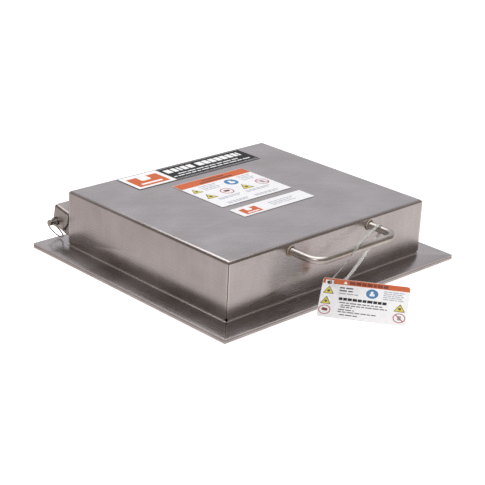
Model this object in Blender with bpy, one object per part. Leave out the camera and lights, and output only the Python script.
"""Hinged plate magnet for a chute: a folded stainless housing over a magnet circuit.

Frame: +Z up, origin at the plan centre of the working face, which is the face plate's
underside at z = 0.  The handle is on the -Y side and the hinge on the +Y side.
All sizes are in metres.
"""
import math

import bmesh
import bpy
from mathutils import Matrix, Vector

# ---- sizes that can be set by themselves -------------------------------------------------
GAP = 0.0003                # between touching pieces

FACE_T = 0.005              # stainless working face plate
SHEET_T = 0.003             # folded housing sheet
BODY_W = 0.4572             # housing, outside, along X
BODY_D = 0.394              # housing, outside, along Y
BODY_H = 0.099              # housing top above the flange top
FLANGE_W = 0.0426           # flange, beyond the housing walls
TOP_FOLD_R = 0.006          # outside radius of the top folds
BASE_FOLD_R = 0.003         # radius in the corner between wall and flange
RELIEF_R = 0.0024           # corner relief hole at each base fold corner
FOLD_STEPS = 5
RELIEF_REACH = 0.016        # half length of the relief hole's cutter, along the diagonal
CUT_ROOM = 0.002            # cutters run this far past what they cut
EDGE_BREAK = 0.0006         # small chamfer on turned ends and plate edges

HANDLE_R = 0.00635          # half-inch rod
HANDLE_SPAN = 0.1862        # between leg axes
HANDLE_X = -0.0023          # middle of the handle
HANDLE_DROP = 0.0145        # handle axis below the housing top
HANDLE_REACH = 0.060        # bar axis from the housing wall
HANDLE_BEND_R = 0.022       # bend radius of the rod's axis
WELD_SIZE = 0.004           # leg of the fillet weld round each handle root

# labels: centre x, centre from the back edge, width, depth
LABEL_T = 0.0005
NAMEPLATE = (0.0119, 0.0392, 0.286, 0.0617)
NOTICE_LABEL = (0.0050, 0.1540, 0.163, 0.126)
MAKER_LABEL = (0.0055, 0.2525, 0.165, 0.037)
LABEL_CORNER_R = 0.0015

PIN_Y = 0.036               # pin axis behind the housing's back wall
PIN_Z = 0.032               # pin axis above the flange top
PIN_R = 0.00475
PIN_TIP = 0.022             # shank length inside the ear's outer face
PIN_TIP_CHAMFER = 0.0015
PIN_COLLAR_R = 0.0075
PIN_COLLAR_T = 0.004
PIN_STUB_R = 0.0050
PIN_STUB_L = 0.0105         # beyond the collar; the ring passes through it
RING_HOLE_R = 0.0022        # wide enough for the ring's curve
RING_WIRE_R = 0.0010
RING_LEAN = math.radians(32.0)      # ring plane from the vertical, its foot inwards
RING_CLEAR = 0.0010         # under the hanging ring's foot

LEAF_T = 0.003
LEAF_TOP = 0.030            # leaf panel's outer face from the pin axis
LEAF_IN = 0.031             # panel edge towards the housing, from the pin axis
LEAF_OUT = 0.007            # panel edge away from the housing
LEAF_FOLD_R = 0.005
EAR_DROP = 0.008            # ear below the pin axis
EAR_CUT = 0.010             # slope cut off the ear's lower inner corner
LEAF_BOLT_R = 0.0045
LEAF_BOLTS = 4
LEAF_BOLT_END = 0.040       # first and last bolt hole from the ear's outer face

LUG_T = 0.006
LUG_SIDE_GAP = 0.0005       # between lug and ear
LUG_NOSE_R = 0.0095
LUG_LOW = 0.017             # lug root below the pin axis, at the wall
LUG_HIGH = 0.013            # lug root above the pin axis, at the wall
LUG_ROOT = 0.010            # straight part of the lug's outline, from the wall

CIRCUIT_SIDE_ROOM = 0.0331  # between the side walls and the ferrite
CIRCUIT_END_ROOM = 0.0116   # between the front and back walls and the ferrite
BLOCK_H = 0.0254            # ferrite block height
BLOCK_COLS, BLOCK_ROWS, BLOCK_LAYERS = 3, 3, 2
BLOCK_GAP = 0.002
ROW_GAP = 0.030             # between rows of blocks, for the spacer bars
POLE_T = 0.008
BACK_T = 0.012
BACK_MARGIN = 0.006         # back plate beyond the blocks, each way
SPACER_H = 0.040
POST_R = 0.011
BOLT_R = 0.005
BOLT_HEAD_R = 0.0092        # across corners, half
BOLT_HEAD_T = 0.0064
POST_CAP = 0.008            # solid metal above the post's threaded hole
WASHER_R = 0.0105
WASHER_T = 0.0015
THREAD_ROOM = 0.003         # beyond the bolt's end in the post's hole

TAG_W, TAG_H, TAG_T = 0.140, 0.082, 0.0008
TAG_CORNER_R = 0.005
TAG_FOOT_X = 0.0876         # lower left corner on the floor, left of the handle's middle
TAG_FOOT_Y = 0.0158         # and in front of the flange
TAG_YAW = math.radians(-54.5)       # of its long edges
TAG_SLOPE = math.radians(25.1)      # from the floor
TAG_HOLE = (0.0110, 0.0730)         # along the long edge, up the short edge
TAG_HOLE_R = 0.0040

STRAP_W, STRAP_T = 0.0056, 0.0008
STRAP_SLACK = 0.0003        # off the handle's rod, beyond the gap
STRAP_BAR_X = -0.0215       # where it first meets the bar
STRAP_BAR_RUN = 0.018       # how far it runs along the bar while it goes round it
STRAP_BAR_WRAP = math.radians(122)
STRAP_BAR_KEYS = 6
# its keys near the tag's hole, in mm from the hole: along the tag, up it, out of its back
STRAP_HOLE_IN = ((4.6, 1.6, -3.4), (1.4, 0.5, -2.2), (0.4, 0.1, 0.4))
STRAP_HOLE_OUT = ((1.0, 0.3, 3.0), (4.6, 1.6, 9.0))
STRAP_RETURN = (24.0, 11.0, -0.6)
STRAP_LEG_Y = 0.038         # its turn round the leg, from the bar's axis
STRAP_LEG_WRAP = math.radians(153)
STRAP_LEG_BOW = 0.0012
STRAP_LEG_KEYS = 7
LOCK = (0.0090, 0.0080, 0.0040)     # strap lock: width, length, thickness
LOCK_PLACE = (13.0, 5.0, -3.6)      # its middle, in mm from the tag's hole
LOCK_TURN = (0.91, 0.41)            # its length's direction: along the tag, up it

# ---- places worked out from them ---------------------------------------------------------
FLANGE_TOP = FACE_T + GAP + SHEET_T
TOP_Z = FLANGE_TOP + BODY_H
HALF_W, HALF_D = BODY_W / 2, BODY_D / 2
PIN_AXIS = Vector((0.0, HALF_D + PIN_Y, FLANGE_TOP + PIN_Z))
LEAF_REACH = math.hypot(LEAF_IN, LEAF_TOP)
LEAF_TILT = math.acos(-(PIN_Y - GAP) / LEAF_REACH) - math.atan2(LEAF_TOP, -LEAF_IN)
EAR_OUT = HALF_W            # ear's outer face, flush with the housing's side
RING_AT = EAR_OUT + GAP + PIN_COLLAR_T + 0.55 * PIN_STUB_L
RING_R = (PIN_Z - RING_CLEAR - RING_WIRE_R) / (2 * math.cos(RING_LEAN))
HANDLE_AXIS_Z = TOP_Z - HANDLE_DROP
HANDLE_BAR_Y = -HALF_D - HANDLE_REACH
BLOCKS_W = BODY_W - 2 * (SHEET_T + CIRCUIT_SIDE_ROOM)
BLOCKS_D = BODY_D - 2 * (SHEET_T + CIRCUIT_END_ROOM)
BLOCK_W = (BLOCKS_W - (BLOCK_COLS - 1) * BLOCK_GAP) / BLOCK_COLS
BLOCK_D = (BLOCKS_D - (BLOCK_ROWS - 1) * ROW_GAP) / BLOCK_ROWS
POLE_Z = FACE_T + GAP
BLOCK_Z = POLE_Z + POLE_T + GAP
BACK_Z = BLOCK_Z + BLOCK_LAYERS * (BLOCK_H + GAP)
POST_X = (BLOCK_W + BLOCK_GAP) / 2
POST_Y = (BLOCK_D + ROW_GAP) / 2


# ---- helpers -----------------------------------------------------------------------------
def material(name, colour, roughness, metallic):
    mat = bpy.data.materials.new(name)
    mat.use_nodes = True
    shader = mat.node_tree.nodes["Principled BSDF"]
    shader.inputs["Base Color"].default_value = (*colour, 1.0)
    shader.inputs["Roughness"].default_value = roughness
    shader.inputs["Metallic"].default_value = metallic
    return mat


def finish(name, bm, mat, smooth_angle=None):
    """Turn a bmesh into a named object with outward faces."""
    bmesh.ops.recalc_face_normals(bm, faces=bm.faces)
    mesh = bpy.data.meshes.new(name)
    bm.to_mesh(mesh)
    bm.free()
    mesh.materials.append(mat)
    if smooth_angle is not None:
        mesh.shade_smooth()
        mesh.set_sharp_from_angle(angle=math.radians(smooth_angle))
    obj = bpy.data.objects.new(name, mesh)
    bpy.context.scene.collection.objects.link(obj)
    return obj


def loft(rings, closed=False):
    """Join rings of equal length with quads; cap the ends unless the loft is closed."""
    bm = bmesh.new()
    loops = [[bm.verts.new(p) for p in ring] for ring in rings]
    count = len(loops[0])
    pairs = list(zip(loops, loops[1:]))
    if closed:
        pairs.append((loops[-1], loops[0]))
    for lower, upper in pairs:
        for i in range(count):
            j = (i + 1) % count
            bm.faces.new((lower[i], lower[j], upper[j], upper[i]))
    if not closed:
        bm.faces.new(reversed(loops[0]))
        bm.faces.new(loops[-1])
    return bm


def block(low, high, chamfer=0.0):
    bm = bmesh.new()
    bmesh.ops.create_cube(bm, size=1.0)
    size = Vector(high) - Vector(low)
    middle = (Vector(high) + Vector(low)) / 2
    bmesh.ops.transform(bm, matrix=Matrix.Diagonal((*size, 1.0)), verts=bm.verts)
    bmesh.ops.translate(bm, vec=middle, verts=bm.verts)
    if chamfer:
        bmesh.ops.bevel(bm, geom=bm.edges[:], offset=chamfer, segments=1, affect="EDGES")
    return bm


def arc(centre, radius, start, end, steps):
    """Points on a circular arc, angles in degrees, both ends included."""
    points = []
    for i in range(steps + 1):
        a = math.radians(start + (end - start) * i / steps)
        points.append((centre[0] + radius * math.cos(a), centre[1] + radius * math.sin(a)))
    return points


def rounded_rectangle(width, height, radius, steps=4):
    w, h = width / 2 - radius, height / 2 - radius
    return (arc((w, h), radius, 0, 90, steps) + arc((-w, h), radius, 90, 180, steps)
            + arc((-w, -h), radius, 180, 270, steps) + arc((w, -h), radius, 270, 360, steps))


def turned(profile, sides):
    """Rings of a body turned about X, from (x, radius) pairs."""
    rings = []
    for x, radius in profile:
        rings.append([(x, radius * math.cos(2 * math.pi * i / sides),
                       radius * math.sin(2 * math.pi * i / sides)) for i in range(sides)])
    return rings


def turned_z(profile, sides, phase=0.0):
    """Rings of a body turned about Z, from (z, radius) pairs."""
    rings = []
    for z, radius in profile:
        rings.append([(radius * math.cos(2 * math.pi * i / sides + phase),
                       radius * math.sin(2 * math.pi * i / sides + phase), z)
                      for i in range(sides)])
    return rings


def cutter(name, bm):
    obj = finish(name, bm, STEEL)
    obj.hide_render = True
    obj.display_type = "WIRE"
    return obj


def cut(target, tool, operation="DIFFERENCE"):
    modifier = target.modifiers.new(tool.name, "BOOLEAN")
    modifier.operation = operation
    modifier.solver = "EXACT"
    modifier.object = tool


def empty(name, location, turn_x=0.0):
    obj = bpy.data.objects.new(name, None)
    obj.location = location
    obj.rotation_euler = (turn_x, 0.0, 0.0)
    bpy.context.scene.collection.objects.link(obj)
    return obj


def sweep(path, normals, width, thickness):
    """A flat strap: a rectangle carried along a path, its flat side facing the normals."""
    rings = []
    for i, point in enumerate(path):
        ahead = path[min(i + 1, len(path) - 1)]
        behind = path[max(i - 1, 0)]
        along = (ahead - behind).normalized()
        face = (normals[i] - along * normals[i].dot(along)).normalized()
        side = along.cross(face) * (width / 2)
        half = face * (thickness / 2)
        rings.append([point + side + half, point - side + half,
                      point - side - half, point + side - half])
    return loft(rings)


def smooth_route(keys, values, pitch):
    """A centripetal Catmull-Rom curve through the keys, about a pitch apart.

    The values, one vector for each key, are carried along it in step.
    """
    first = keys[0] * 2 - keys[1]
    last = keys[-1] * 2 - keys[-2]
    knots = [first] + keys + [last]
    points, carried = [], []
    for i in range(1, len(knots) - 2):
        p = knots[i - 1:i + 3]
        t = [0.0]
        for k in range(3):
            t.append(t[-1] + math.sqrt((p[k + 1] - p[k]).length))
        steps = max(2, round((p[2] - p[1]).length / pitch))
        for k in range(steps):
            share = k / steps
            u = t[1] + (t[2] - t[1]) * share
            a = [p[j].lerp(p[j + 1], (u - t[j]) / (t[j + 1] - t[j])) for j in range(3)]
            b = [a[j].lerp(a[j + 1], (u - t[j]) / (t[j + 2] - t[j])) for j in range(2)]
            points.append(b[0].lerp(b[1], (u - t[1]) / (t[2] - t[1])))
            carried.append(values[i - 1].lerp(values[i], share).normalized())
    return points + [keys[-1].copy()], carried + [values[-1].normalized()]


# ---- housing -----------------------------------------------------------------------------
def make_housing():
    """One folded pan: top, four walls and an outward flange mitred at the corners."""
    inner_top_r = TOP_FOLD_R - SHEET_T
    outer_base_r = BASE_FOLD_R + SHEET_T
    top_c = (-TOP_FOLD_R, TOP_Z - TOP_FOLD_R)
    base_c = (BASE_FOLD_R, FLANGE_TOP + BASE_FOLD_R)
    outside = (arc(top_c, TOP_FOLD_R, 90, 0, FOLD_STEPS)
               + arc(base_c, BASE_FOLD_R, 180, 270, FOLD_STEPS)
               + [(FLANGE_W, FLANGE_TOP)])
    inside = ([(FLANGE_W, FLANGE_TOP - SHEET_T)]
              + arc(base_c, outer_base_r, 270, 180, FOLD_STEPS)
              + arc(top_c, inner_top_r, 0, 90, FOLD_STEPS))
    rings = []
    for out, z in outside + inside:
        x, y = HALF_W + out, HALF_D + out
        rings.append([(x, y, z), (-x, y, z), (-x, -y, z), (x, -y, z)])
    pan = finish("housing_pan", loft(rings), STEEL, smooth_angle=25)
    for i, (sx, sy) in enumerate(((1, 1), (-1, 1), (-1, -1), (1, -1))):
        bm = loft(turned([(-RELIEF_REACH, RELIEF_R), (RELIEF_REACH, RELIEF_R)], 20))
        # half a facet round, so that no edge of the tool lies in the mitre's own plane
        bmesh.ops.rotate(bm, cent=(0, 0, 0), verts=bm.verts,
                         matrix=Matrix.Rotation(math.pi / 20, 3, "X"))
        bmesh.ops.rotate(bm, cent=(0, 0, 0), verts=bm.verts,
                         matrix=Matrix.Rotation(math.atan2(sy, sx), 3, "Z"))
        bmesh.ops.translate(bm, verts=bm.verts,
                            vec=(sx * HALF_W, sy * HALF_D, FLANGE_TOP + RELIEF_R + GAP))
        cut(pan, cutter(f"relief_cutter_{i + 1}", bm))
    return pan


def make_face_plate():
    x, y = HALF_W + FLANGE_W, HALF_D + FLANGE_W
    finish("face_plate", block((-x, -y, 0), (x, y, FACE_T), EDGE_BREAK), FACE)


def make_handle():
    """A rod bent to a U, its legs ending at the front wall, and a weld round each root."""
    wall = -HALF_D - GAP
    left, right = HANDLE_X - HANDLE_SPAN / 2, HANDLE_X + HANDLE_SPAN / 2
    bar_y = HANDLE_BAR_Y
    bend = HANDLE_BEND_R
    route = [(left, wall)]
    route += arc((left + bend, bar_y + bend), bend, 180, 270, 10)
    route += arc((right - bend, bar_y + bend), bend, 270, 360, 10)
    route += [(right, wall)]
    sides = 20
    rings = []
    for i, (x, y) in enumerate(route):
        ahead = route[min(i + 1, len(route) - 1)]
        behind = route[max(i - 1, 0)]
        along = Vector((ahead[0] - behind[0], ahead[1] - behind[1], 0)).normalized()
        side = Vector((-along.y, along.x, 0))
        ring = []
        for k in range(sides):
            a = 2 * math.pi * k / sides
            ring.append(Vector((x, y, HANDLE_AXIS_Z)) + side * (HANDLE_R * math.cos(a))
                        + Vector((0, 0, HANDLE_R * math.sin(a))))
        rings.append(ring)
    finish("handle", loft(rings), STEEL, smooth_angle=40)
    bore = HANDLE_R + GAP
    for name, x in (("handle_weld_left", left), ("handle_weld_right", right)):
        profile = [(0.0, bore), (0.0, bore + WELD_SIZE), (0.35 * WELD_SIZE, bore + 0.55 * WELD_SIZE),
                   (WELD_SIZE, bore + 0.12 * WELD_SIZE), (WELD_SIZE, bore)]
        bm = loft(turned_z(profile, 24), closed=True)
        bmesh.ops.rotate(bm, cent=(0, 0, 0), verts=bm.verts, matrix=Matrix.Rotation(math.pi / 2, 3, "X"))
        bmesh.ops.translate(bm, verts=bm.verts, vec=(x, wall, HANDLE_AXIS_Z))
        finish(name, bm, WELD, smooth_angle=40)


def make_label(name, place, mat):
    x, from_back, width, depth = place
    y = HALF_D - from_back
    outline = rounded_rectangle(width, depth, LABEL_CORNER_R)
    low, high = TOP_Z + GAP, TOP_Z + GAP + LABEL_T
    finish(name, loft([[(x + px, y + py, z) for px, py in outline] for z in (low, high)]), mat)


# ---- hinge -------------------------------------------------------------------------------
def make_leaf():
    """A full-width channel: a panel with an ear folded down at each end, on the pins."""
    hang = empty("leaf_swing_axis", PIN_AXIS, LEAF_TILT)
    inner_r = LEAF_FOLD_R - LEAF_T
    out = EAR_OUT - LEAF_FOLD_R
    top = LEAF_TOP - LEAF_FOLD_R
    section = ([(EAR_OUT, -EAR_DROP)] + arc((out, top), LEAF_FOLD_R, 0, 90, FOLD_STEPS)
               + arc((-out, top), LEAF_FOLD_R, 90, 180, FOLD_STEPS)
               + [(-EAR_OUT, -EAR_DROP), (-EAR_OUT + LEAF_T, -EAR_DROP)]
               + arc((-out, top), inner_r, 180, 90, FOLD_STEPS)
               + arc((out, top), inner_r, 90, 0, FOLD_STEPS)
               + [(EAR_OUT - LEAF_T, -EAR_DROP)])
    bm = loft([[(x, y, z) for x, z in section] for y in (-LEAF_IN, LEAF_OUT)])
    leaf = finish("hinge_leaf", bm, STEEL, smooth_angle=25)
    leaf.parent = hang
    # the ears' lower inner corners slope, their lower outer corners are round
    low = -EAR_DROP - CUT_ROOM
    far = LEAF_IN + CUT_ROOM
    slope = [(-far, low), (-LEAF_IN + EAR_CUT, low), (-LEAF_IN + EAR_CUT, -EAR_DROP),
             (-LEAF_IN, -EAR_DROP + 2 * EAR_CUT), (-far, -EAR_DROP + 2 * EAR_CUT)]
    corner_r = min(LEAF_OUT, EAR_DROP)
    corner = [(LEAF_OUT + CUT_ROOM, low), (LEAF_OUT + CUT_ROOM, -EAR_DROP + corner_r)]
    corner += arc((LEAF_OUT - corner_r, -EAR_DROP + corner_r), corner_r, 0, -90, 6)
    corner += [(LEAF_OUT - corner_r, low)]
    tools = []
    reach = EAR_OUT + CUT_ROOM
    for name, outline in (("ear_slope_cutter", slope), ("ear_corner_cutter", corner)):
        tools.append(cutter(name, loft([[(x, y, z) for y, z in outline] for x in (-reach, reach)])))
    bore = loft(turned([(-reach, PIN_R + GAP), (reach, PIN_R + GAP)], 32))
    tools.append(cutter("ear_bore_cutter", bore))
    middle_y = (LEAF_OUT - LEAF_IN) / 2
    for i in range(LEAF_BOLTS):
        x = (i - (LEAF_BOLTS - 1) / 2) * leaf_bolt_pitch()
        bm = loft(turned_z([(LEAF_TOP - LEAF_T - CUT_ROOM, LEAF_BOLT_R),
                            (LEAF_TOP + CUT_ROOM, LEAF_BOLT_R)], 24))
        bmesh.ops.translate(bm, verts=bm.verts, vec=(x, middle_y, 0))
        tools.append(cutter(f"leaf_bolt_cutter_{i + 1}", bm))
    for tool in tools:
        tool.parent = hang
        cut(leaf, tool)


def leaf_bolt_pitch():
    return 2 * (EAR_OUT - LEAF_BOLT_END) / (LEAF_BOLTS - 1)


def make_lug(name, side):
    """A plate welded to the back wall, reaching out to the pin inside the leaf's ear."""
    y0, z = HALF_D + GAP, PIN_AXIS.z
    outline = [(y0, z - LUG_LOW), (y0 + LUG_ROOT, z - LUG_LOW)]
    outline += arc((PIN_AXIS.y, z), LUG_NOSE_R, -75, 75, 12)
    outline += [(y0 + LUG_ROOT, z + LUG_HIGH), (y0, z + LUG_HIGH)]
    outer = side * (EAR_OUT - LEAF_T - LUG_SIDE_GAP)
    inner = outer - side * LUG_T
    lug = finish(name, loft([[(x, py, pz) for py, pz in outline] for x in (inner, outer)]), STEEL)
    span = sorted((inner - side * CUT_ROOM, outer + side * CUT_ROOM))
    bm = loft(turned([(span[0], PIN_R + GAP), (span[1], PIN_R + GAP)], 32))
    bmesh.ops.translate(bm, verts=bm.verts, vec=(0, PIN_AXIS.y, PIN_AXIS.z))
    cut(lug, cutter(name + "_bore_cutter", bm))


def make_pin(name, side):
    """A plain pin pushed in from outside: shank, collar and a cross-drilled stub."""
    face = EAR_OUT + GAP
    tip = EAR_OUT - PIN_TIP
    end = face + PIN_COLLAR_T + PIN_STUB_L
    profile = [(tip, PIN_R - PIN_TIP_CHAMFER), (tip + PIN_TIP_CHAMFER, PIN_R), (face, PIN_R),
               (face, PIN_COLLAR_R - EDGE_BREAK), (face + EDGE_BREAK, PIN_COLLAR_R),
               (face + PIN_COLLAR_T - EDGE_BREAK, PIN_COLLAR_R),
               (face + PIN_COLLAR_T, PIN_COLLAR_R - EDGE_BREAK), (face + PIN_COLLAR_T, PIN_STUB_R),
               (end - EDGE_BREAK, PIN_STUB_R), (end, PIN_STUB_R - EDGE_BREAK)]
    bm = loft(turned([(side * x, r) for x, r in profile], 32))
    pin = finish(name, bm, PIN, smooth_angle=35)
    pin.location = (0, PIN_AXIS.y, PIN_AXIS.z)
    reach = PIN_STUB_R + CUT_ROOM
    bm = loft(turned_z([(-reach, RING_HOLE_R), (reach, RING_HOLE_R)], 16))
    bmesh.ops.rotate(bm, cent=(0, 0, 0), verts=bm.verts, matrix=Matrix.Rotation(math.pi / 2, 3, "X"))
    tool = cutter(name + "_hole_cutter", bm)
    tool.location = (side * RING_AT, PIN_AXIS.y, PIN_AXIS.z)
    cut(pin, tool)


def make_ring(name, side):
    """A wire ring through the pin's cross hole, leaning in, its foot on the flange."""
    down = Vector((-side * math.sin(RING_LEAN), 0, -math.cos(RING_LEAN)))
    along = Vector((0, 1, 0))
    across = along.cross(down)
    centre = down * RING_R
    steps, sides = 40, 8
    rings = []
    for i in range(steps):
        a = 2 * math.pi * i / steps
        out = down * math.cos(a) + along * math.sin(a)
        ring = []
        for k in range(sides):
            b = 2 * math.pi * k / sides
            ring.append(centre + out * (RING_R + RING_WIRE_R * math.cos(b))
                        + across * (RING_WIRE_R * math.sin(b)))
        rings.append(ring)
    obj = finish(name, loft(rings, closed=True), RING, smooth_angle=60)
    obj.location = (side * RING_AT, PIN_AXIS.y, PIN_AXIS.z)


# ---- magnet circuit ----------------------------------------------------------------------
def make_circuit():
    """Pole plates, two layers of ferrite blocks, spacer bars and the back plate."""
    for row in range(BLOCK_ROWS):
        y = (row - (BLOCK_ROWS - 1) / 2) * (BLOCK_D + ROW_GAP)
        low = (-BLOCKS_W / 2, y - BLOCK_D / 2, POLE_Z)
        high = (BLOCKS_W / 2, y + BLOCK_D / 2, POLE_Z + POLE_T)
        finish(f"pole_plate_{row + 1}", block(low, high, EDGE_BREAK), IRON)
        for col in range(BLOCK_COLS):
            x = (col - (BLOCK_COLS - 1) / 2) * (BLOCK_W + BLOCK_GAP)
            for layer in range(BLOCK_LAYERS):
                z = BLOCK_Z + layer * (BLOCK_H + GAP)
                low = (x - BLOCK_W / 2, y - BLOCK_D / 2, z)
                high = (x + BLOCK_W / 2, y + BLOCK_D / 2, z + BLOCK_H)
                name = f"ferrite_{row + 1}_{col + 1}_{layer + 1}"
                finish(name, block(low, high, EDGE_BREAK), FERRITE)
    for i in range(BLOCK_ROWS - 1):
        y = (i - (BLOCK_ROWS - 2) / 2) * (BLOCK_D + ROW_GAP)
        half = ROW_GAP / 2 - GAP
        low = (-BLOCKS_W / 2, y - half, POLE_Z)
        high = (BLOCKS_W / 2, y + half, POLE_Z + SPACER_H)
        finish(f"spacer_bar_{i + 1}", block(low, high, EDGE_BREAK), SPACER)
    x, y = BLOCKS_W / 2 + BACK_MARGIN, BLOCKS_D / 2 + BACK_MARGIN
    plate = finish("back_plate", block((-x, -y, BACK_Z), (x, y, BACK_Z + BACK_T), EDGE_BREAK), IRON)
    count = 0
    for sx in (-1, 1):
        for sy in (-1, 1):
            count += 1
            place = (sx * POST_X, sy * POST_Y, 0)
            make_fixing(count, place, plate)


def make_fixing(number, place, plate):
    """A threaded post under the housing top, and the bolt and washer that reach it."""
    clearance = BOLT_R + GAP
    post_low, post_high = BACK_Z + BACK_T + GAP, TOP_Z - SHEET_T - GAP
    head_top = BACK_Z - GAP - WASHER_T - GAP
    hole_end = post_high - POST_CAP
    bolt_end = hole_end - THREAD_ROOM
    bore = loft(turned_z([(BACK_Z - CUT_ROOM, clearance), (BACK_Z + BACK_T + CUT_ROOM, clearance)], 24))
    cut(plate, cutter(f"plate_bore_cutter_{number}", moved(bore, place)))
    outer = [(post_low, POST_R), (post_high, POST_R)]
    post = finish(f"post_{number}", moved(loft(turned_z(outer, 32)), place), IRON, smooth_angle=40)
    tool = loft(turned_z([(post_low - CUT_ROOM, clearance), (hole_end, clearance)], 24))
    cut(post, cutter(f"post_bore_cutter_{number}", moved(tool, place)))
    washer = [(head_top + GAP, clearance), (head_top + GAP, WASHER_R),
              (head_top + GAP + WASHER_T, WASHER_R), (head_top + GAP + WASHER_T, clearance)]
    finish(f"washer_{number}", moved(loft(turned_z(washer, 24), closed=True), place), ZINC,
           smooth_angle=40)
    head = loft(turned_z([(head_top - BOLT_HEAD_T, BOLT_HEAD_R - EDGE_BREAK),
                          (head_top - BOLT_HEAD_T + EDGE_BREAK, BOLT_HEAD_R),
                          (head_top, BOLT_HEAD_R)], 6))
    bolt = finish(f"bolt_{number}", moved(head, place), ZINC)
    shank = loft(turned_z([(head_top - BOLT_HEAD_T / 2, BOLT_R), (bolt_end - EDGE_BREAK, BOLT_R),
                           (bolt_end, BOLT_R - EDGE_BREAK)], 24))
    cut(bolt, cutter(f"bolt_shank_{number}", moved(shank, place)), "UNION")


def moved(bm, place):
    bmesh.ops.translate(bm, verts=bm.verts, vec=place)
    return bm


# ---- tag and its strap -------------------------------------------------------------------
def tag_axes():
    along = Vector((math.cos(TAG_YAW), math.sin(TAG_YAW), 0))
    up = Vector((-math.sin(TAG_YAW) * math.cos(TAG_SLOPE), math.cos(TAG_YAW) * math.cos(TAG_SLOPE),
                 math.sin(TAG_SLOPE)))
    return along, up, along.cross(up)


def by_hole(offsets_mm):
    """A point by the tag's hole: along the tag, up it and out of its face, in mm."""
    along, up, out = tag_axes()
    foot = Vector((HANDLE_X - TAG_FOOT_X, -HALF_D - FLANGE_W - TAG_FOOT_Y, GAP))
    hole = foot + along * TAG_HOLE[0] + up * TAG_HOLE[1]
    return hole + (along * offsets_mm[0] + up * offsets_mm[1] + out * offsets_mm[2]) / 1000


def make_tag():
    """A printed plastic card, its foot on the floor, leaning back over the flange."""
    along, up, out = tag_axes()
    outline = rounded_rectangle(TAG_W, TAG_H, TAG_CORNER_R)
    shift = (TAG_W / 2 - TAG_HOLE[0], TAG_H / 2 - TAG_HOLE[1])
    bm = loft([[(px + shift[0], py + shift[1], z) for px, py in outline] for z in (0, TAG_T)])
    tag = finish("tag", bm, CARD)
    turn = Matrix((along, up, out)).transposed()
    tool = loft(turned_z([(-CUT_ROOM, TAG_HOLE_R), (TAG_T + CUT_ROOM, TAG_HOLE_R)], 20))
    tool = cutter("tag_hole_cutter", tool)
    for obj in (tag, tool):
        obj.location = by_hole((0, 0, 0))
        obj.rotation_euler = turn.to_euler()
    cut(tag, tool)


def make_strap():
    """A clear strap: through the tag's hole, over the bar and round the right leg."""
    leg_x = HANDLE_X + HANDLE_SPAN / 2
    z = HANDLE_AXIS_Z
    ride = HANDLE_R + GAP + STRAP_T / 2 + STRAP_SLACK
    along, _, out = tag_axes()
    lock_point, lock_dir = strap_lock_place()
    half = LOCK[1] / 2 + GAP
    route = [(lock_point - lock_dir * half, out)]
    route += zip([by_hole(place) for place in STRAP_HOLE_IN], (out, along + out, along))
    route += zip([by_hole(place) for place in STRAP_HOLE_OUT], (along - 0.3 * out, along - 0.6 * out))
    # round the bar's outer side, from below to its top
    for i in range(STRAP_BAR_KEYS + 1):
        share = i / STRAP_BAR_KEYS
        a = STRAP_BAR_WRAP * (1 - share)
        face = Vector((0, -math.sin(a), math.cos(a)))
        x = STRAP_BAR_X + STRAP_BAR_RUN * share ** 2
        route.append((Vector((x, HANDLE_BAR_Y, z)) + face * ride, face))
    # over the leg, round its far side and off its underside
    leg_y = HANDLE_BAR_Y + STRAP_LEG_Y
    for i in range(STRAP_LEG_KEYS + 1):
        share = i / STRAP_LEG_KEYS
        a = math.radians(90) - STRAP_LEG_WRAP * share
        face = Vector((math.cos(a), 0, math.sin(a)))
        y = leg_y + STRAP_LEG_BOW * math.sin(math.pi * share)
        route.append((Vector((leg_x, y, z)) + face * ride, face))
    route += [(by_hole(STRAP_RETURN), -out), (lock_point + lock_dir * half, -out)]
    path, faces = smooth_route([r[0] for r in route], [r[1].normalized() for r in route], 0.004)
    finish("tag_strap", sweep(path, faces, STRAP_W, STRAP_T), CLEAR)


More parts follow.
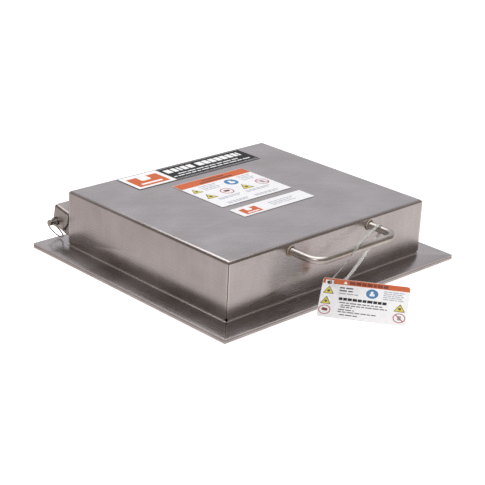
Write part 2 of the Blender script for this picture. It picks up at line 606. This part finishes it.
def strap_lock_place():
    along, up, _ = tag_axes()
    direction = (along * LOCK_TURN[0] + up * LOCK_TURN[1]).normalized()
    return by_hole(LOCK_PLACE), direction


def make_strap_lock():
    """The little head where the strap's two ends meet, behind the tag."""
    _, _, out = tag_axes()
    point, direction = strap_lock_place()
    side = direction.cross(out)
    turn = Matrix((side, direction, out)).transposed()
    half = [v / 2 for v in LOCK]
    bm = block([-v for v in half], half, EDGE_BREAK)
    lock = finish("strap_lock", bm, CLEAR)
    lock.location = point
    lock.rotation_euler = turn.to_euler()


# ---- build -------------------------------------------------------------------------------
for old in list(bpy.data.objects):
    bpy.data.objects.remove(old, do_unlink=True)

STEEL = material("brushed_stainless", (0.42, 0.40, 0.38), 0.34, 1.0)
FACE = material("face_stainless", (0.45, 0.43, 0.42), 0.38, 1.0)
WELD = material("weld_bead", (0.36, 0.34, 0.32), 0.45, 1.0)
PIN = material("pin_steel", (0.30, 0.29, 0.28), 0.30, 1.0)
RING = material("ring_wire", (0.26, 0.25, 0.25), 0.28, 1.0)
IRON = material("mild_steel", (0.20, 0.20, 0.21), 0.55, 1.0)
FERRITE = material("ferrite", (0.04, 0.04, 0.045), 0.75, 0.0)
SPACER = material("spacer_aluminium", (0.60, 0.61, 0.62), 0.45, 1.0)
ZINC = material("zinc_plate", (0.58, 0.58, 0.56), 0.35, 1.0)
PLATE = material("nameplate_print", (0.05, 0.05, 0.05), 0.40, 0.0)
NOTICE = material("notice_print", (0.85, 0.85, 0.85), 0.45, 0.0)
CARD = material("tag_card", (0.88, 0.88, 0.87), 0.40, 0.0)
CLEAR = material("clear_strap", (0.75, 0.75, 0.74), 0.25, 0.0)

make_housing()
make_face_plate()
make_handle()
make_label("nameplate", NAMEPLATE, PLATE)
make_label("notice_label", NOTICE_LABEL, NOTICE)
make_label("maker_label", MAKER_LABEL, NOTICE)
make_leaf()
for word, sign in (("left", -1), ("right", 1)):
    make_lug(f"hinge_lug_{word}", sign)
    make_pin(f"hinge_pin_{word}", sign)
    make_ring(f"pin_ring_{word}", sign)
make_circuit()
make_tag()
make_strap()
make_strap_lock()
